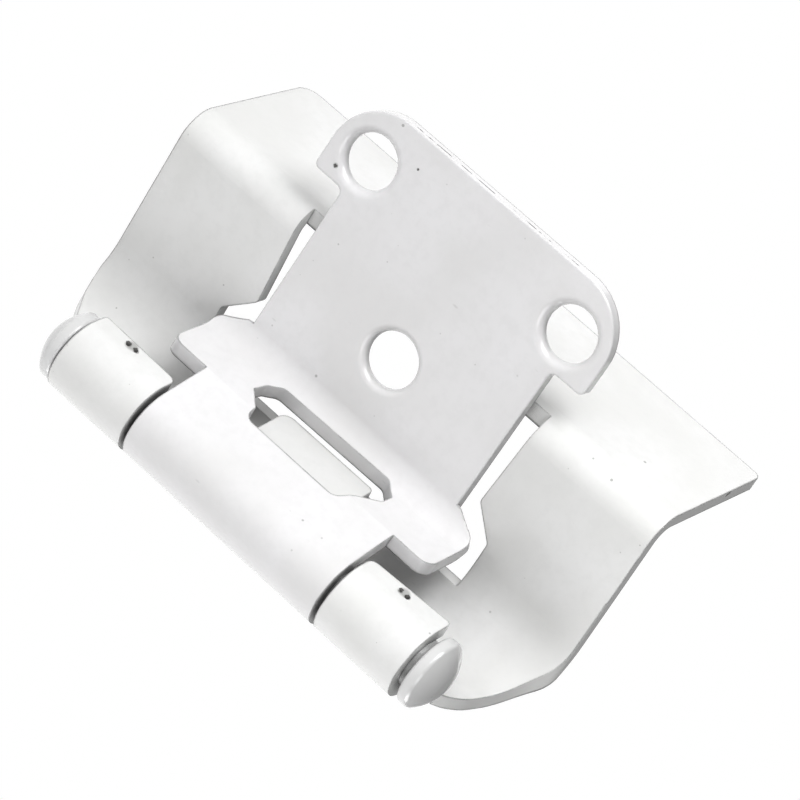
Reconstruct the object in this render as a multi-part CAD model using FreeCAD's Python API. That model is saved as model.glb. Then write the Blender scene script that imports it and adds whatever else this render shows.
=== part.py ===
import FreeCAD, Part
import math
import os

# Wrap-around cabinet hinge: two stamped sheet wings on two headed stub pins, with a closing spring in the barrel.
# Working frame: X along the pin axis, Y from the barrel towards the opening side, Z towards the front of the cabinet.
# The frame wing is square to that frame. The door wing is drawn square to it too and then turned about the pin.

# ---- driving dimensions, mm ----
T = 1.6                 # sheet thickness of both wings
R_BORE = 3.0            # inside radius of the rolled knuckles
R_OUT = R_BORE + T      # outside radius of the barrel
X_MID = 14.1            # half length of the middle knuckle
GAP = 0.65              # gap between knuckles
X_END = 25.75           # outer end of the outer knuckles
HALF = 35.0             # half length of the frame wing
REST_DEG = 5.4          # the free door wing closes this far past parallel

# frame wing, side view
FL_Y = 23.76            # opening-side face of the flange
FL_Z = -38.6            # free edge of the flange
FL_R = 3.46             # outside radius of the flange bend
SEC_Z = -15.0           # front face of the first section
ARC_Y = 5.5             # where the first section starts to curve up
ARC_R = 8.5             # inside radius of that curve
ROLL_END = 8.0          # the outer knuckles' roll ends here, degrees, and a straight lip follows
LIP_IN, LIP_OUT = 1.95, 2.8   # length of that lip at the inner and outer end
LIP_OUT_LEFT = 2.25           # the other knuckle's lip is shorter at its outer end
MID_TOP = -5.4          # top edge of the bridge below the middle knuckle

# frame wing, window
WIN_LOW = 1.75         # edge near the barrel
WIN_X2 = 20.3           # half width of its wide part
WIN_Y2 = 7.7            # end of the wide part
WIN_X1 = 16.95          # half width at the narrow part's start
WIN_Y1 = 11.1
WIN_X0 = 17.7           # half width at the bend
WIN_END = -17.0         # it ends on the flange at this depth

# frame wing screws, in the flange
FS_X = 8.0
FS_Z = -25.5
FS_R = 2.3

# door wing, side view
PL_Z = -12.5            # front face of the plate
PL_BEND = 3.0           # inside radius of the bend at its foot
WALL_Y = 7.0            # wall face at its top
WALL_Z = -4.35          # top edge of the lobes
WALL_LEAN = 9.6         # lean of the wall, degrees
DOOR_ROLL_END = 300.0   # end of the middle knuckle's roll, degrees

# door wing, outline
NECK = 15.5             # half width of the neck
EAR_X = 19.85           # half width over the ears
EAR_Y = 29.6            # shoulder of the ears
EAR_R = 6.85            # their outer corners
PL_Y = 40.45            # top edge
LOBE_X = 19.4           # half width over the lobes
EAR_HX, EAR_HY, EAR_HR = 14.7, 34.0, 3.15
CEN_HY, CEN_HR = 18.3, 3.2
RIM = 0.2               # rounding of the plate's outline
EAR_ROLL, EAR_BACK = 0.95, 0.3   # rolled-in rim of the ear holes, on the front and on the back
CEN_ROLL, CEN_BACK = 0.8, 0.4    # the same for the centre hole

# pins
PIN_R = 2.95            # in the middle knuckle, 0.05 mm running clearance
PIN_IN = 8.0            # inner end of each pin
HEAD_R = 4.35
HEAD_T = 1.4            # cylindrical part of the head
HEAD_H = 3.3            # whole height of the head
HEAD_GAP = 0.8          # the two heads don't stand off alike
HEAD_GAP_LOW = 0.15

# closing spring
SP_T = 0.8
SP_R = 2.4              # mid radius of its coil
SP_X0, SP_X1 = -6.1, 7.3  # its ends along the pin

V = FreeCAD.Vector
os.makedirs("parts", exist_ok=True)


def rad(a):
    return math.radians(a)


def yz(y, z, x=0.0):
    return V(x, y, z)


def pol(r, deg, cy=0.0, cz=0.0):
    return (cy + r * math.cos(rad(deg)), cz + r * math.sin(rad(deg)))


def face_from(segs, place):
    """segs: ('L', a, b) and ('A', a, mid, b) in 2D; place maps a 2D point to 3D."""
    edges = []
    for s in segs:
        if s[0] == "L":
            a, b = place(*s[1]), place(*s[2])
            if a.distanceToPoint(b) > 1e-6:
                edges.append(Part.LineSegment(a, b).toShape())
        else:
            edges.append(Part.Arc(place(*s[1]), place(*s[2]), place(*s[3])).toShape())
    return Part.Face(Part.Wire(edges))


def arc(cy, cz, r, a0, a1):
    return ("A", pol(r, a0, cy, cz), pol(r, (a0 + a1) / 2.0, cy, cz), pol(r, a1, cy, cz))


def prism(face, vec):
    body = face.extrude(vec)
    if body.Volume < 0:
        body.reverse()
    return body


def rounded(pts, place):
    """pts: list of (u, v, radius). A closed outline with rounded corners."""
    n = len(pts)
    ends = []
    for i in range(n):
        px, py, _ = pts[i - 1]
        cx, cy, r = pts[i]
        nx, ny, _ = pts[(i + 1) % n]
        if r <= 0:
            ends.append(((cx, cy), None, (cx, cy)))
            continue
        ax, ay = px - cx, py - cy
        bx, by = nx - cx, ny - cy
        la, lb = math.hypot(ax, ay), math.hypot(bx, by)
        ax, ay, bx, by = ax / la, ay / la, bx / lb, by / lb
        half = math.acos(max(-1.0, min(1.0, ax * bx + ay * by))) / 2.0
        d = r / math.tan(half)
        p, q = (cx + ax * d, cy + ay * d), (cx + bx * d, cy + by * d)
        mx, my = ax + bx, ay + by
        lm = math.hypot(mx, my)
        c = (cx + mx / lm * r / math.sin(half), cy + my / lm * r / math.sin(half))
        m = (c[0] - mx / lm * r, c[1] - my / lm * r)
        ends.append((p, m, q))
    segs = []
    for i in range(n):
        p, m, q = ends[i]
        if m is not None:
            segs.append(("A", p, m, q))
        segs.append(("L", q, ends[(i + 1) % n][0]))
    return face_from(segs, place)


def mirror_x(s):
    return s.mirror(V(0, 0, 0), V(1, 0, 0))


def soften(shape, pick, r, what):
    """Rounds the picked edges, one group after the other; a group that fails is left sharp."""
    es = [e for e in shape.Edges if pick(e)]
    if not es:
        print("no edges for", what)
        return shape
    try:
        out = shape.makeFillet(r, es)
        if out.isValid() and out.Solids and abs(out.Volume - shape.Volume) < 0.2 * shape.Volume:
            return out
    except Exception as err:
        print("left sharp:", what, err)
        return shape
    print("left sharp:", what)
    return shape


# ================= frame wing =================
sy = ARC_Y
cz = SEC_Z + ARC_R
wall_in = ARC_Y - ARC_R            # front-side face of the upright wall, -3.0
wall_out = wall_in - T
by = FL_Y - FL_R
bz = SEC_Z - FL_R

side = [
    ("L", (FL_Y, FL_Z), (FL_Y, bz)),
    arc(by, bz, FL_R, 0, 90),
    ("L", (by, SEC_Z), (sy, SEC_Z)),
    arc(sy, cz, ARC_R, 270, 180),
    ("L", (wall_in, cz), (wall_in, 0.0)),
    ("L", (wall_in, 0.0), (wall_out, 0.0)),
    ("L", (wall_out, 0.0), (wall_out, cz)),
    arc(sy, cz, ARC_R + T, 180, 270),
    ("L", (sy, SEC_Z - T), (by, SEC_Z - T)),
    arc(by, bz, FL_R - T, 90, 0),
    ("L", (FL_Y - T, bz), (FL_Y - T, FL_Z)),
    ("L", (FL_Y - T, FL_Z), (FL_Y, FL_Z)),
]
frame = prism(face_from(side, lambda y, z: yz(y, z, -HALF)), V(2 * HALF, 0, 0))

lip = (math.sin(rad(ROLL_END)), -math.cos(rad(ROLL_END)))
lip_a, lip_b = pol(R_BORE, ROLL_END), pol(R_OUT, ROLL_END)
lip_c = (lip_a[0] + lip[0] * LIP_OUT, lip_a[1] + lip[1] * LIP_OUT)
lip_d = (lip_b[0] + lip[0] * LIP_OUT, lip_b[1] + lip[1] * LIP_OUT)
roll = [
    arc(0, 0, R_BORE, 180, ROLL_END),
    ("L", lip_a, lip_c),
    ("L", lip_c, lip_d),
    ("L", lip_d, lip_b),
    arc(0, 0, R_OUT, ROLL_END, 180),
    ("L", (wall_out, 0.0), (wall_in, 0.0)),
]
x_in = X_MID + GAP
knuckle = prism(face_from(roll, lambda y, z: yz(y, z, x_in)), V(X_END - x_in, 0, 0))
frame = frame.fuse([knuckle, mirror_x(knuckle)]).removeSplitter()

# the wing's ends sweep from the first section's corners up to the outer ends of the knuckles; the two differ a little
low_part = [(X_END, -1.35), (27.0, -1.85), (28.2, -2.75), (29.2, -3.6), (29.95, -4.65), (30.75, -6.3), (31.3, -8.0)]
sweeps = {
    1: low_part + [(31.7, -9.0), (32.1, -10.0), (32.95, -12.0), (33.9, -13.6), (34.55, -14.4), (35.0, -15.4)],
    -1: low_part + [(32.0, -9.1), (32.9, -10.3), (33.6, -11.3), (34.3, -12.4), (34.8, -13.6), (35.4, -15.4)],
}
for sgn, sweep in sweeps.items():
    curve = Part.BSplineCurve()
    curve.interpolate([V(x, 12.0, z) for x, z in sweep])
    zl = sweep[-1][1]
    cut_wire = Part.Wire([
        curve.toShape(),
        Part.LineSegment(V(sweep[-1][0], 12.0, zl), V(37.0, 12.0, zl)).toShape(),
        Part.LineSegment(V(37.0, 12.0, zl), V(37.0, 12.0, 6.0)).toShape(),
        Part.LineSegment(V(37.0, 12.0, 6.0), V(X_END, 12.0, 6.0)).toShape(),
        Part.LineSegment(V(X_END, 12.0, 6.0), V(X_END, 12.0, -1.35)).toShape(),
    ])
    tool = prism(Part.Face(cut_wire), V(0, -24.0, 0))
    frame = frame.cut(tool if sgn > 0 else mirror_x(tool))

# relief behind the pin heads
reliefs = []
for x_far in (28.4, 28.05):
    relief = rounded([(X_END, -3.6, 0.35), (x_far, -3.6, 0.5), (x_far, 1.0, 0), (X_END, 1.0, 0)], lambda x, z: V(x, 2.0, z))
    reliefs.append(prism(relief, V(0, -10.0, 0)))
frame = frame.cut([reliefs[0], mirror_x(reliefs[1])])

# clearance under the middle knuckle
notch =rounded([(-x_in, MID_TOP, 1.2), (x_in, MID_TOP, 1.2), (x_in, 6.0, 0), (-x_in, 6.0, 0)],
                lambda x, z: V(x, 2.0, z))
frame = frame.cut(prism(notch, V(0, -10.0, 0)))

# window for the door wing's neck and lobes
win = rounded([
    (-WIN_X2, WIN_LOW, 0.25), (WIN_X2, WIN_LOW, 0.25),(WIN_X2, WIN_Y2, 0.8), (WIN_X1, WIN_Y1, 0.8), (WIN_X0, 22.0, 0),
    (WIN_X0, 27.0, 0), (-WIN_X0, 27.0, 0), (-WIN_X0, 22.0, 0), (-WIN_X1, WIN_Y1, 0.8), (-WIN_X2, WIN_Y2, 0.8)],
    lambda x, y: V(x, y, WIN_END))
frame = frame.cut(prism(win, V(0, 0, 8.0)))

# flange screws and the flange's free corners
for s in (-1, 1):
    frame = frame.cut(Part.makeCylinder(FS_R, 4.0, V(s * FS_X, FL_Y - T - 1.0, FS_Z), V(0, 1, 0)))
for s, r in ((1, 1.0), (-1, 2.2)):
    corner = [("L", (s * HALF, FL_Z), (s * HALF, FL_Z + r)),
              ("A", (s * HALF, FL_Z + r), (s * (HALF - r * (1 - math.sqrt(0.5))), FL_Z + r * (1 - math.sqrt(0.5))), (s * (HALF - r), FL_Z)),
              ("L", (s * (HALF - r), FL_Z), (s * HALF, FL_Z))]
    chip = prism(face_from(corner, lambda x, z: V(x, FL_Y + 1.0, z)), V(0, -4.0, 0))
    frame = frame.cut(chip)

# the lip's free edge runs slightly askew and has rounded corners; the stake marks hold the pins
def on_lip(x, w):
    return V(x, lip_a[0], lip_a[1]) + V(0, lip[0], lip[1]) * w + V(0, -math.cos(rad(ROLL_END)), -math.sin(rad(ROLL_END))) * 0.5


deep = V(0, math.cos(rad(ROLL_END)), math.sin(rad(ROLL_END))) * (T + 1.0)
for s, lip_out, marks in ((1, LIP_OUT, ((-0.9, 0.28, 0.4), (0.1, 0.38, 0.55))),
                          (-1, LIP_OUT_LEFT, ((-0.86, 0.34, 0.5), (0.28, 0.36, 0.5)))):
    keep = rounded([(x_in, LIP_IN, 1.0), (X_END, lip_out, 0.5), (X_END, 0.0, 0), (x_in, 0.0, 0)], on_lip)
    whole = rounded([(x_in - 1.0, LIP_OUT + 1.0, 0), (X_END + 1.0, LIP_OUT + 1.0, 0), (X_END + 1.0, 0.0, 0), (x_in - 1.0, 0.0, 0)], on_lip)
    lip_tool = prism(whole, deep).cut(prism(keep, deep))
    frame = frame.cut(lip_tool if s > 0 else mirror_x(lip_tool))
    for dx, r, d in marks:
        w = 1.1
        p = V(s * 20.5 + dx, lip_b[0] + lip[0] * w, lip_b[1] + lip[1] * w) - V(0, math.cos(rad(ROLL_END)), math.sin(rad(ROLL_END))) * d
        frame = frame.cut(Part.makeCone(0.08, r, d + 0.1, p, V(0, math.cos(rad(ROLL_END)), math.sin(rad(ROLL_END)))))
print("frame_wing solids", len(frame.Solids), "valid", frame.isValid(), "volume", round(frame.Volume, 1))

# ================= door wing =================
ul = (-math.sin(rad(WALL_LEAN)), math.cos(rad(WALL_LEAN)))      # up the wall
un = (math.cos(rad(WALL_LEAN)), math.sin(rad(WALL_LEAN)))       # out of its opening-side face
fz = PL_Z + PL_BEND                                              # centre height of the bend
pz = fz - PL_BEND * un[1]
py = WALL_Y + (WALL_Z - pz) * math.tan(rad(WALL_LEAN))
fy = py + PL_BEND * un[0]

# plate
outline = [
    ("L", (-NECK, fy), (NECK, fy)),
    ("L", (NECK, fy), (NECK, EAR_Y - 0.9)),
    ("A", (NECK, EAR_Y - 0.9), (NECK + 0.9 * (1 - math.sqrt(0.5)), EAR_Y - 0.9 * (1 - math.sqrt(0.5))), (NECK + 0.9, EAR_Y)),
    ("L", (NECK + 0.9, EAR_Y), (EAR_X - 0.75, EAR_Y)),
    ("A", (EAR_X - 0.75, EAR_Y), (EAR_X - 0.75 * (1 - math.sqrt(0.5)), EAR_Y + 0.75 * (1 - math.sqrt(0.5))), (EAR_X, EAR_Y + 0.75)),
    ("L", (EAR_X, EAR_Y + 0.75), (EAR_X, PL_Y - EAR_R)),
    ("A", (EAR_X, PL_Y - EAR_R), (EAR_X - EAR_R + EAR_R * math.sqrt(0.5), PL_Y - EAR_R + EAR_R * math.sqrt(0.5)), (EAR_X - EAR_R, PL_Y)),
    ("L", (EAR_X - EAR_R, PL_Y), (-EAR_X + EAR_R, PL_Y)),
    ("A", (-EAR_X + EAR_R, PL_Y), (-EAR_X + EAR_R - EAR_R * math.sqrt(0.5), PL_Y - EAR_R + EAR_R * math.sqrt(0.5)), (-EAR_X, PL_Y - EAR_R)),
    ("L", (-EAR_X, PL_Y - EAR_R), (-EAR_X, EAR_Y + 0.75)),
    ("A", (-EAR_X, EAR_Y + 0.75), (-EAR_X + 0.75 * (1 - math.sqrt(0.5)), EAR_Y + 0.75 * (1 - math.sqrt(0.5))), (-EAR_X + 0.75, EAR_Y)),
    ("L", (-EAR_X + 0.75, EAR_Y), (-NECK - 0.9, EAR_Y)),
    ("A", (-NECK - 0.9, EAR_Y), (-NECK - 0.9 * (1 - math.sqrt(0.5)), EAR_Y - 0.9 * (1 - math.sqrt(0.5))), (-NECK, EAR_Y - 0.9)),
    ("L", (-NECK, EAR_Y - 0.9), (-NECK, fy)),
]
plate = prism(face_from(outline, lambda x, y: V(x, y, PL_Z - T)), V(0, 0, T))

# bend and wall, as wide as the lobes
top_in = (WALL_Y - T / un[0], WALL_Z)
low_in = (py - T * un[0], pz - T * un[1])
foot = [
    ("L", (fy, PL_Z), (fy, PL_Z - T)),
    arc(fy, fz, PL_BEND + T, 270, 180 + WALL_LEAN),
    ("L", low_in, top_in),
    ("L", top_in, (WALL_Y, WALL_Z)),
    ("L", (WALL_Y, WALL_Z), (py, pz)),
    arc(fy, fz, PL_BEND, 180 + WALL_LEAN, 270),
]
wall = prism(face_from(foot, lambda y, z: yz(y, z, -LOBE_X)), V(2 * LOBE_X, 0, 0))

# from the neck to the lobes the outline flares over the bend
q = math.sqrt(0.5)
mid = V(0, fy - (PL_BEND + T / 2) * q, fz - (PL_BEND + T / 2) * q)


def on_bend(x, w):
    return mid + V(x, 0, 0) + V(0, -q, q) * w + V(0, -q, -q) * 5.0


flare = prism(rounded([(NECK, -8.0, 0), (NECK, -2.45, 0.4), (LOBE_X, -0.55, 1.4), (LOBE_X, 3.0, 0), (25.0, 3.0, 0), (25.0, -8.0, 0)],
                      on_bend), V(0, q, q) * 9.0)
TIP_R = 1.6
tip = prism(face_from([
    ("L", (LOBE_X - TIP_R, WALL_Z), (LOBE_X + 1.0, WALL_Z)),
    ("L", (LOBE_X + 1.0, WALL_Z), (LOBE_X + 1.0, WALL_Z - TIP_R)),
    ("L", (LOBE_X + 1.0, WALL_Z - TIP_R), (LOBE_X, WALL_Z - TIP_R)),
    ("A", (LOBE_X, WALL_Z - TIP_R), (LOBE_X - TIP_R * (1 - q), WALL_Z - TIP_R * (1 - q)), (LOBE_X - TIP_R, WALL_Z))],
    lambda x, z: V(x, 9.0, z)), V(0, -5.0, 0))
wall = wall.cut([flare, mirror_x(flare), tip, mirror_x(tip)])

# middle knuckle: the sheet goes on from the wall, leans in to the barrel and rolls over the front
dist = math.hypot(WALL_Y, WALL_Z)
t_out = math.degrees(math.atan2(WALL_Z, WALL_Y) + math.acos(R_OUT / dist))
tin = pol(R_BORE, t_out)
tou = pol(R_OUT, t_out)
# inside corner below the barrel, where the offset lines of the wall and of the leaning part meet
ld = (-math.sin(rad(t_out)), math.cos(rad(t_out)))
den = ul[0] * ld[1] - ul[1] * ld[0]
dx, dz = tin[0] - top_in[0], tin[1] - top_in[1]
k = (dx * ld[1] - dz * ld[0]) / den
inner_corner = (top_in[0] + ul[0] * k, top_in[1] + ul[1] * k)
barrel = [
    ("L", (WALL_Y, WALL_Z), tou),
    arc(0, 0, R_OUT, t_out, DOOR_ROLL_END),
    ("L", pol(R_OUT, DOOR_ROLL_END), pol(R_BORE, DOOR_ROLL_END)),
    arc(0, 0, R_BORE, DOOR_ROLL_END, t_out),
    ("L", tin, inner_corner),
    ("L", inner_corner, top_in),
    ("L", top_in, (WALL_Y, WALL_Z)),
]
middle = prism(face_from(barrel, lambda y, z: yz(y, z, -X_MID)), V(2 * X_MID, 0, 0))
door = plate.fuse([wall, middle]).removeSplitter()

# slot in the wall
slot = rounded([
    (-6.75, -2.8, 1.3), (6.6, -2.8, 1.5), (7.9, -5.15, 0.8), (9.9, -7.7, 0.35), (9.95, -9.6, 0.4), (8.1, -11.4, 1.2),
    (-7.8, -11.15, 1.2), (-8.95, -9.6, 0.8), (-9.25, -7.4, 0.35), (-6.9, -4.75, 0.5)],
    lambda x, z: V(x, 0, z))
slot.translate(V(0, 10.0, 0.5))
door = door.cut(prism(slot, V(0, -un[0], -un[1]) * 5.9))

# screw holes
for hx, hy, hr in ((-EAR_HX, EAR_HY, EAR_HR), (EAR_HX, EAR_HY, EAR_HR), (0.0, CEN_HY, CEN_HR)):
    door = door.cut(Part.makeCylinder(hr, 5.0, V(hx, hy, PL_Z - T - 1.0), V(0, 0, 1)))


def round_edge(z, hx, hy, hr):
    """Picks the hole's circle at depth z."""
    def pick(e):
        b = e.BoundBox
        return (abs(b.ZMin - z) < 0.01 and abs(b.ZMax - z) < 0.01 and abs((b.XMin + b.XMax) / 2 - hx) < 0.05
                and abs((b.YMin + b.YMax) / 2 - hy) < 0.05 and abs(b.XMax - b.XMin - 2 * hr) < 0.1)
    return pick


holes = [(-EAR_HX, EAR_HY, EAR_HR, EAR_ROLL, EAR_BACK), (EAR_HX, EAR_HY, EAR_HR, EAR_ROLL, EAR_BACK),
         (0.0, CEN_HY, CEN_HR, CEN_ROLL, CEN_BACK)]


def on_plate_outline(e):
    b = e.BoundBox
    on_top = b.ZMin > PL_Z - 0.01 and b.ZMax < PL_Z + 0.01 and b.YMax > fy + 0.3
    return on_top and not any(round_edge(PL_Z, hx, hy, hr)(e) for hx, hy, hr, _, _ in holes)


door = soften(door, on_plate_outline, RIM, "plate outline")
for hx, hy, hr, roll_r, back_r in holes:
    door = soften(door, round_edge(PL_Z, hx, hy, hr), roll_r, "hole rim")
    door = soften(door, round_edge(PL_Z - T, hx, hy, hr), back_r, "hole rim, back")


def on_barrel_end(e):
    b = e.BoundBox
    return b.XLength < 0.01 and abs(abs(b.XMax) - X_MID) < 0.01 and b.ZMax > 3.0


print("door_wing solids", len(door.Solids), "valid", door.isValid(), "volume", round(door.Volume, 1))

# ================= pins =================
def headed_pin(gap):
    """A stub pin whose domed head stands gap off the knuckle's end."""
    x_pin = X_END + gap
    shank = Part.makeCylinder(PIN_R, x_in + 0.2 - PIN_IN, V(PIN_IN, 0, 0), V(1, 0, 0))
    grip = Part.makeCylinder(R_BORE, x_pin - x_in - 0.2, V(x_in + 0.2, 0, 0), V(1, 0, 0))
    dome_h = HEAD_H - HEAD_T
    dome_R = (HEAD_R * HEAD_R + dome_h * dome_h) / (2 * dome_h)
    flat = [
        ("L", (x_pin, 0.0), (x_pin, HEAD_R)),
        ("L", (x_pin, HEAD_R), (x_pin + HEAD_T, HEAD_R)),
        ("A", (x_pin + HEAD_T, HEAD_R),
         (x_pin + HEAD_T + dome_h - dome_R + dome_R * math.cos(0.5 * math.asin(HEAD_R / dome_R)), dome_R * math.sin(0.5 * math.asin(HEAD_R / dome_R))),
         (x_pin + HEAD_H, 0.0)),
        ("L", (x_pin + HEAD_H, 0.0), (x_pin, 0.0)),
    ]
    head = face_from(flat, lambda x, y: V(x, y, 0)).revolve(V(0, 0, 0), V(1, 0, 0), 360)
    if head.Volume < 0:
        head.reverse()
    pin = shank.fuse([grip, head]).removeSplitter()
    for x_rim, r_rim in ((x_pin + HEAD_T, 0.5), (x_pin, 0.45)):
        rim = [e for e in pin.Edges if abs(e.BoundBox.XMin - x_rim) < 0.01 and abs(e.BoundBox.XMax - x_rim) < 0.01 and e.BoundBox.YMax > HEAD_R - 0.1]
        pin = pin.makeFillet(r_rim, rim)
    return pin


upper_pin = headed_pin(HEAD_GAP)
lower_pin = mirror_x(headed_pin(HEAD_GAP_LOW))

# ================= closing spring =================
ex_p = (3.4, -3.1)
d_e = math.hypot(*ex_p)
a_t = math.degrees(math.atan2(ex_p[1], ex_p[0]) + math.acos(SP_R / d_e))
h = SP_T / 2
p0 = pol(SP_R, a_t)
dl = math.hypot(ex_p[0] - p0[0], ex_p[1] - p0[1])
dv = ((ex_p[0] - p0[0]) / dl, (ex_p[1] - p0[1]) / dl)
tail = (-11.35 - p0[1]) / dv[1]
tip_m = (p0[0] + dv[0] * tail, p0[1] + dv[1] * tail)
nrm = (math.cos(rad(a_t)), math.sin(rad(a_t)))
COIL_END = 262.0
leaf = [
    ("L", (tip_m[0] + nrm[0] * h, tip_m[1] + nrm[1] * h), pol(SP_R + h, a_t)),
    arc(0, 0, SP_R + h, a_t, COIL_END),
    ("L", pol(SP_R + h, COIL_END), pol(SP_R - h, COIL_END)),
    arc(0, 0, SP_R - h, COIL_END, a_t),
    ("L", pol(SP_R - h, a_t), (tip_m[0] - nrm[0] * h, tip_m[1] - nrm[1] * h)),
    ("L", (tip_m[0] - nrm[0] * h, tip_m[1] - nrm[1] * h), (tip_m[0] + nrm[0] * h, tip_m[1] + nrm[1] * h)),
]
spring = prism(face_from(leaf, lambda y, z: yz(y, z, SP_X0)), V(SP_X1 - SP_X0, 0, 0))
soft_tips = []
for sgn, xe, r in ((-1, SP_X0, 1.4), (1, SP_X1, 0.6)):
    a0 = V(xe, tip_m[0], tip_m[1])
    ev = V(0, -dv[0], -dv[1])
    nv = V(0, nrm[0], nrm[1])

    def on_leaf(x, w, a0=a0, ev=ev, nv=nv):
        return a0 + V(x, 0, 0) + ev * w - nv * 2.0
    f = face_from([
        ("L", (sgn * 0.5, -0.5), (sgn * 0.5, r)),
        ("L", (sgn * 0.5, r), (0.0, r)),
        ("A", (0.0, r), (-sgn * r * (1 - q), r * (1 - q)), (-sgn * r, 0.0)),
        ("L", (-sgn * r, 0.0), (-sgn * r, -0.5)),
        ("L", (-sgn * r, -0.5), (sgn * 0.5, -0.5))], on_leaf)
    soft_tips.append(prism(f, nv * 4.0))
spring = spring.cut(soft_tips)

# ================= rest pose and row frame =================
turn = FreeCAD.Placement(V(0, 0, 0), FreeCAD.Rotation(V(1, 0, 0), -REST_DEG))
# row frame: Z up along the pin, -Y towards the front, X from the opening back towards the frame member
m = FreeCAD.Matrix(0, -1, 0, 0,
                   0, 0, -1, 0,
                   1, 0, 0, 0,
                   0, 0, 0, 1)
# origin: middle of the flange screws, on the flange's face that lies against the frame
o = V(0, FL_Y - T, FS_Z)
shift = FreeCAD.Placement(V(o.y, o.z, 0), FreeCAD.Rotation())
row = shift.multiply(FreeCAD.Placement(m))

for name, shape, moves in (("frame_wing", frame, False), ("upper_pin", upper_pin, False), ("lower_pin", lower_pin, False),
                           ("door_wing", door, True), ("closing_spring", spring, True)):
    s = shape.copy()
    if moves:
        s.Placement = turn.multiply(s.Placement)
    s.Placement = row.multiply(s.Placement)
    if len(s.Solids) == 1:
        s = s.Solids[0]
    s.exportStep("parts/%s.step" % name)
    b = s.BoundBox
    print(name, "valid", s.isValid(), "solids", len(s.Solids), "volume %.1f" % s.Volume,
          "box", [round(v, 2) for v in (b.XMin, b.YMin, b.ZMin, b.XMax, b.YMax, b.ZMax)])
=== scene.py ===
import bpy
import math
from mathutils import Matrix, Vector


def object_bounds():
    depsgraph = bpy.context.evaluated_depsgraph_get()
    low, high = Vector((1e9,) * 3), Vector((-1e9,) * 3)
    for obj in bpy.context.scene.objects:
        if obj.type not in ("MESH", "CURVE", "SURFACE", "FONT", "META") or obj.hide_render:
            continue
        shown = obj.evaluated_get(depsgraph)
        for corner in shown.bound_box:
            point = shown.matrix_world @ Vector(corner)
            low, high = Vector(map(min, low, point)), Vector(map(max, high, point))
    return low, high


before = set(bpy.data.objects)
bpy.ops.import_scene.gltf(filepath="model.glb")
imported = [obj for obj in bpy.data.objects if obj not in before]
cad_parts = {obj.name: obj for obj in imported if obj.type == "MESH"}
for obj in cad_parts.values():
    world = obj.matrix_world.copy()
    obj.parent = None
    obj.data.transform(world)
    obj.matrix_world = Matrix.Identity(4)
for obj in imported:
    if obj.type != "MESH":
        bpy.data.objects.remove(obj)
cad_lo, cad_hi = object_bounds()
scene = bpy.context.scene


# ---------------------------------------------------------------- node helpers
class Tree:
    """A material and short calls that add nodes to it."""

    def __init__(self, name):
        self.mat = bpy.data.materials.new(name)
        self.mat.use_nodes = True
        self.nt = self.mat.node_tree
        self.nt.nodes.clear()

    def add(self, kind, **values):
        n = self.nt.nodes.new(kind)
        for k, v in values.items():
            setattr(n, k, v)
        return n

    def put(self, sock, v):
        if hasattr(v, "is_linked") or hasattr(v, "default_value") and not isinstance(v, (int, float, tuple)):
            self.nt.links.new(v, sock)
        else:
            sock.default_value = v

    def math(self, op, a, b=None, c=None, clamp=False):
        n = self.add("ShaderNodeMath", operation=op, use_clamp=clamp)
        self.put(n.inputs[0], a)
        if b is not None:
            self.put(n.inputs[1], b)
        if c is not None:
            self.put(n.inputs[2], c)
        return n.outputs[0]

    def noise(self, vec, scale, detail=2.0, rough=0.5, dist=0.0):
        n = self.add("ShaderNodeTexNoise")
        self.put(n.inputs["Vector"], vec)
        n.inputs["Scale"].default_value = scale
        n.inputs["Detail"].default_value = detail
        n.inputs["Roughness"].default_value = rough
        n.inputs["Distortion"].default_value = dist
        return n.outputs["Fac"]

    def ramp(self, fac, stops):
        n = self.add("ShaderNodeMapRange", interpolation_type="SMOOTHSTEP")
        self.put(n.inputs["Value"], fac)
        (n.inputs["From Min"].default_value, n.inputs["From Max"].default_value,
         n.inputs["To Min"].default_value, n.inputs["To Max"].default_value) = stops
        return n.outputs["Result"]

    def mix(self, fac, a, b):
        n = self.add("ShaderNodeMix", data_type="RGBA")
        self.put(n.inputs["Factor"], fac)
        self.put(n.inputs[6], a)
        self.put(n.inputs[7], b)
        return n.outputs[2]

    def mapped(self, scale=(1, 1, 1), rot=(0, 0, 0), loc=(0, 0, 0)):
        tc = self.add("ShaderNodeTexCoord")
        m = self.add("ShaderNodeMapping")
        self.nt.links.new(tc.outputs["Object"], m.inputs["Vector"])
        m.inputs["Scale"].default_value = scale
        m.inputs["Rotation"].default_value = rot
        m.inputs["Location"].default_value = loc
        return m.outputs["Vector"]


# chips down to the steel and scuffed spots, each at its own place on the paint: x, y, z, radius in metres
FRAME_CHIPS = (
    (-0.00114, 0.00513, 0.0350, 0.00030), (-0.00132, 0.00554, 0.0350, 0.00026),
    (0.01747, -0.02482, -0.02151, 0.00042), (0.01746, -0.02484, -0.02043, 0.00034),
    (0.01741, -0.02476, 0.01955, 0.00032), (0.01762, -0.02480, 0.02052, 0.00040),
)
FRAME_DINGS = (
    (-0.00160, -0.00274, 0.02751, 0.00022), (-0.00072, -0.00934, 0.0274, 0.00020),
    (0.01746, -0.02483, -0.0210, 0.00095), (0.01751, -0.02478, 0.0200, 0.00085),
)
DOOR_CHIPS = (
    (-0.00772, -0.01012, -0.01766, 0.00026), (-0.01354, -0.00957, -0.00955, 0.00013),
)
DOOR_DINGS = (
    (-0.00772, -0.01012, -0.01766, 0.00036), (-0.01354, -0.00957, -0.00955, 0.00020), (-0.01620, -0.00932, -0.01375, 0.00020),
    (-0.01688, -0.00868, -0.01198, 0.00018), (-0.01689, -0.00874, -0.0106, 0.00018), (-0.01689, -0.00877, -0.0094, 0.00018),
)


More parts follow.
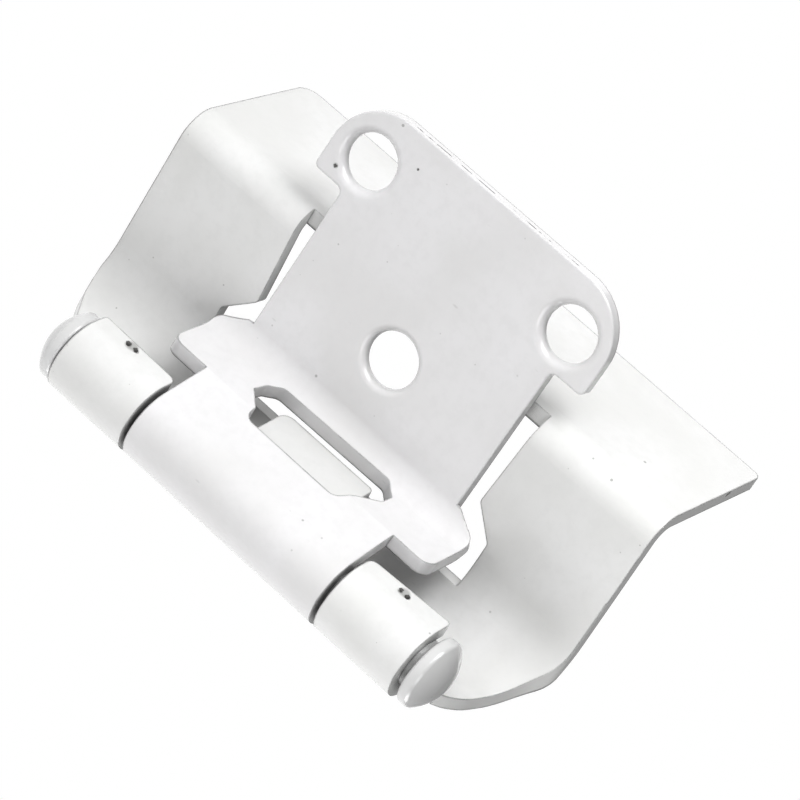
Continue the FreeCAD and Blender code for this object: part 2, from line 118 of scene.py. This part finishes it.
# thin broken lines of worn paint along a straight outer edge: x, y, from z, to z, radius in metres
DOOR_RUBS = ((-0.01689, -0.00870, -0.0125, 0.0125, 0.00010),)


def gloss_white(name, tone=(0.74, 0.74, 0.735), seed=0.0, marks=(), dings=(), rubs=()):
    """White gloss enamel over sheet steel: cloudiness, orange peel, worn thin paint with painted edge shade on sharp
    edges, painted shade deep in the gaps and slots, dust specks, hairline scratches, and the chips (marks) and scuffs
    (dings) at their own places: (x, y, z, radius)."""
    t = Tree(name)
    out = t.add("ShaderNodeOutputMaterial")
    b = t.add("ShaderNodeBsdfPrincipled")
    t.nt.links.new(b.outputs["BSDF"], out.inputs["Surface"])
    p = t.mapped(loc=(seed, seed * 0.37, -seed * 0.61))
    at = t.mapped()

    # cloudy tone, 6 to 20 mm across, and a finer mottle
    cloud = t.noise(p, 80.0, 2.0, 0.5, 0.3)
    mottle = t.noise(p, 800.0, 3.0, 0.6)
    base = t.mix(t.ramp(cloud, (0.30, 0.70, 0.0, 1.0)),
                 (tone[0] * 0.965, tone[1] * 0.965, tone[2] * 0.962, 1.0),
                 (tone[0] * 1.015, tone[1] * 1.015, tone[2] * 1.02, 1.0))
    base = t.mix(t.math("MULTIPLY", t.ramp(mottle, (0.40, 0.72, 0.0, 1.0)), 0.35), base,
                 (tone[0] * 0.94, tone[1] * 0.94, tone[2] * 0.94, 1.0))

    # worn thin paint and painted edge shade over sharp edges: darker where the rounded normal leaves the face's own
    geo = t.add("ShaderNodeNewGeometry")
    edge = t.add("ShaderNodeBevel", samples=6)
    edge.inputs["Radius"].default_value = 0.00035
    same = t.add("ShaderNodeVectorMath", operation="DOT_PRODUCT")
    t.nt.links.new(edge.outputs["Normal"], same.inputs[0])
    t.nt.links.new(geo.outputs["Normal"], same.inputs[1])
    rim = t.ramp(same.outputs["Value"], (0.80, 0.97, 1.0, 0.0))
    edge_wear_and_shade = t.math("MULTIPLY", rim, t.ramp(t.noise(p, 420.0, 2.0, 0.6), (0.30, 0.62, 0.30, 0.85)))
    base = t.mix(edge_wear_and_shade, base, (0.30, 0.30, 0.30, 1.0))

    # painted shade deep in the gaps and slots: the colour goes dark where ambient occlusion is low
    deep = t.add("ShaderNodeAmbientOcclusion", samples=6)
    deep.inputs["Distance"].default_value = 0.0022
    painted_gap_shade = t.ramp(deep.outputs["AO"], (0.05, 0.42, 0.80, 0.0))
    base = t.mix(painted_gap_shade, base, (0.07, 0.07, 0.07, 1.0))

    # dust specks and pin holes in the paint, two sizes: small cells, few of them filled
    speck = None
    for scale, share, small, span, depth in ((380.0, 0.085, 0.04, 0.06, 0.50), (900.0, 0.060, 0.06, 0.09, 0.28)):
        vor = t.add("ShaderNodeTexVoronoi", feature="F1")
        t.put(vor.inputs["Vector"], p)
        vor.inputs["Scale"].default_value = scale
        pick = t.add("ShaderNodeSeparateColor")
        t.nt.links.new(vor.outputs["Color"], pick.inputs[0])
        few = t.math("LESS_THAN", pick.outputs[0], share)
        size = t.math("MULTIPLY_ADD", pick.outputs[1], span, small)
        near = t.ramp(t.math("DIVIDE", vor.outputs["Distance"], size), (0.6, 1.1, 1.0, 0.0))
        one = t.math("MULTIPLY", few, near)
        dark = t.math("MULTIPLY", one, t.math("MULTIPLY_ADD", pick.outputs[2], depth, 0.12))
        base = t.mix(dark, base, (0.16, 0.155, 0.15, 1.0))
        speck = one if speck is None else t.math("MAXIMUM", speck, one)

    # hairline scratches: long thin cells in two directions
    scratch = None
    for rot, loc in (((0.3, 0.9, 0.4), (1.7, 0.2, 0.9)), ((1.1, -0.5, 1.9), (0.4, 2.3, 0.1))):
        v = t.add("ShaderNodeTexVoronoi", feature="F1")
        t.put(v.inputs["Vector"], t.mapped(scale=(1.0, 0.03, 0.35), rot=rot, loc=loc))
        v.inputs["Scale"].default_value = 900.0
        pk = t.add("ShaderNodeSeparateColor")
        t.nt.links.new(v.outputs["Color"], pk.inputs[0])
        line = t.math("MULTIPLY", t.math("LESS_THAN", pk.outputs[0], 0.02),
                      t.ramp(v.outputs["Distance"], (0.05, 0.16, 1.0, 0.0)))
        scratch = line if scratch is None else t.math("MAXIMUM", scratch, line)
    base = t.mix(t.math("MULTIPLY", scratch, 0.22), base, (0.40, 0.40, 0.39, 1.0))

    # chips, with a dark core and a broken rim, and scuffs
    chip = None
    for x, y, z, r in marks:
        far = t.add("ShaderNodeVectorMath", operation="DISTANCE")
        t.put(far.inputs[0], at)
        far.inputs[1].default_value = (x, y, z)
        d = t.math("ADD", t.math("DIVIDE", far.outputs["Value"], r),
                   t.math("MULTIPLY_ADD", t.noise(at, 1.1 / r, 2.0, 0.6), 1.3, -0.65))
        core = t.ramp(d, (0.62, 0.95, 1.0, 0.0))
        base = t.mix(t.math("MULTIPLY", core, 0.93), base, (0.055, 0.052, 0.05, 1.0))
        chip = core if chip is None else t.math("MAXIMUM", chip, core)
    for x, y, z, r in dings:
        far = t.add("ShaderNodeVectorMath", operation="DISTANCE")
        t.put(far.inputs[0], at)
        far.inputs[1].default_value = (x, y, z)
        core = t.ramp(t.math("DIVIDE", far.outputs["Value"], r), (0.5, 1.1, 1.0, 0.0))
        base = t.mix(t.math("MULTIPLY", core, 0.50), base, (0.22, 0.22, 0.21, 1.0))
        chip = core if chip is None else t.math("MAXIMUM", chip, core)
    for x, y, z0, z1, r in rubs:
        axes = t.add("ShaderNodeSeparateXYZ")
        t.put(axes.inputs[0], at)
        dx = t.math("SUBTRACT", axes.outputs[0], x)
        dy = t.math("SUBTRACT", axes.outputs[1], y)
        off = t.math("SQRT", t.math("ADD", t.math("MULTIPLY", dx, dx), t.math("MULTIPLY", dy, dy)))
        span = t.math("MULTIPLY", t.math("GREATER_THAN", axes.outputs[2], z0), t.math("LESS_THAN", axes.outputs[2], z1))
        dash = t.math("MULTIPLY", span, t.ramp(t.noise(at, 650.0, 3.0, 0.7), (0.47, 0.58, 0.0, 1.0)))
        line = t.math("MULTIPLY", dash, t.ramp(t.math("DIVIDE", off, r), (0.5, 1.3, 1.0, 0.0)))
        base = t.mix(t.math("MULTIPLY", line, 0.88), base, (0.10, 0.10, 0.095, 1.0))
    t.put(b.inputs["Base Color"], base)

    # gloss, a little duller where the mottle is
    b.inputs["Specular IOR Level"].default_value = 0.5
    b.inputs["IOR"].default_value = 1.5
    t.put(b.inputs["Roughness"], t.math("MULTIPLY_ADD", mottle, 0.14, 0.14))
    b.inputs["Coat Weight"].default_value = 0.45
    b.inputs["Coat Roughness"].default_value = 0.06
    b.inputs["Coat IOR"].default_value = 1.5

    # orange peel, and the pits of specks and chips
    peel = t.noise(p, 1300.0, 1.0, 0.4)
    wave = t.noise(p, 240.0, 1.0, 0.4)
    height = t.math("ADD", t.math("MULTIPLY", peel, 0.35), wave)
    height = t.math("SUBTRACT", height, t.math("MULTIPLY", speck, 0.9))
    height = t.math("SUBTRACT", height, t.math("MULTIPLY", scratch, 0.25))
    if chip is not None:
        height = t.math("SUBTRACT", height, t.math("MULTIPLY", chip, 1.6))
    bump = t.add("ShaderNodeBump")
    bump.inputs["Strength"].default_value = 0.16
    bump.inputs["Distance"].default_value = 0.00012
    t.put(bump.inputs["Height"], height)
    t.nt.links.new(edge.outputs["Normal"], bump.inputs["Normal"])
    t.nt.links.new(bump.outputs["Normal"], b.inputs["Normal"])
    return t.mat


looks = {
    "frame_wing": gloss_white("frame_enamel", (0.74, 0.74, 0.735), 0.0, FRAME_CHIPS, FRAME_DINGS),
    "door_wing": gloss_white("door_enamel", (0.735, 0.731, 0.734), 0.13, DOOR_CHIPS, DOOR_DINGS, DOOR_RUBS),
    # the pins take a darker copy of the same white enamel: painted shade on the pin caps
    "upper_pin": gloss_white("upper_pin_enamel_painted_shade", (0.67, 0.67, 0.67), 0.29),
    "lower_pin": gloss_white("lower_pin_enamel_painted_shade", (0.67, 0.67, 0.67), 0.41),
    "closing_spring": gloss_white("spring_enamel", (0.74, 0.74, 0.735), 0.53),
}
for name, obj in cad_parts.items():
    mat = looks[name]
    if not obj.material_slots:
        obj.data.materials.append(mat)
    for s in obj.material_slots:
        s.material = mat

# ---------------------------------------------------------------- camera, at the photograph's viewing angle
cam_data = bpy.data.cameras.new("view")
cam = bpy.data.objects.new("view", cam_data)
scene.collection.objects.link(cam)
right = Vector((-0.4804518, 0.5069044, 0.7156912))
up = Vector((-0.7492926, 0.1868333, -0.6353377))
back = Vector((-0.4557704, -0.8415113, 0.2900553))
m = Matrix((right, up, back)).transposed().to_4x4()
m.translation = Vector((-0.192509, -0.381306, 0.130911))
cam.matrix_world = m
cam_data.sensor_width = 36.0
cam_data.lens = 183.505
cam_data.clip_start, cam_data.clip_end = 0.01, 60.0
scene.camera = cam

# ---------------------------------------------------------------- plain white stage
bpy.ops.mesh.primitive_plane_add(size=30.0, location=(0.0, 0.0, cad_lo.z - 0.00005))
floor = bpy.context.object
floor.name = "floor"
t = Tree("floor_white")
out = t.add("ShaderNodeOutputMaterial")
lit = t.add("ShaderNodeEmission")
lit.inputs["Color"].default_value = (1.0, 1.0, 1.0, 1.0)
lit.inputs["Strength"].default_value = 1.0
t.nt.links.new(lit.outputs[0], out.inputs["Surface"])
floor.data.materials.append(t.mat)

# the room: pale near the horizon, darker overhead
world = bpy.data.worlds.new("studio")
world.use_nodes = True
scene.world = world
wn = world.node_tree
room = wn.nodes["Background"]
room.inputs["Color"].default_value = (1.0, 1.0, 1.0, 1.0)
way = wn.nodes.new("ShaderNodeTexCoord")
split = wn.nodes.new("ShaderNodeSeparateXYZ")
wn.links.new(way.outputs["Generated"], split.inputs[0])
fade = wn.nodes.new("ShaderNodeMapRange")
fade.interpolation_type = "SMOOTHSTEP"
wn.links.new(split.outputs["Z"], fade.inputs["Value"])
fade.inputs["From Min"].default_value, fade.inputs["From Max"].default_value = 0.30, 0.70
fade.inputs["To Min"].default_value, fade.inputs["To Max"].default_value = 0.45, 0.12
wn.links.new(fade.outputs["Result"], room.inputs["Strength"])


def softbox(name, toward, dist, size, power):
    d = bpy.data.lights.new(name, "AREA")
    d.shape = "DISK"
    d.size = size
    d.energy = power
    o = bpy.data.objects.new(name, d)
    scene.collection.objects.link(o)
    v = Vector(toward).normalized()
    o.location = Vector((0.013, -0.010, 0.0)) + v * dist
    o.rotation_mode = "QUATERNION"
    o.rotation_quaternion = v.to_track_quat("Z", "Y")
    return o


softbox("key", (-0.93, -0.10, 0.34), 0.34, 0.21, 0.62)
softbox("key_side", (-0.90, -0.42, 0.08), 0.8, 0.5, 1.9)
softbox("front", (0.15, -0.80, 0.58), 0.42, 0.31, 0.60)
softbox("behind", (0.92, -0.20, 0.30), 0.8, 0.6, 3.0)

scene.view_settings.view_transform = "Standard"
scene.view_settings.look = "None"
scene.view_settings.exposure = 0.0
scene.view_settings.gamma = 0.66      # the print's own contrast
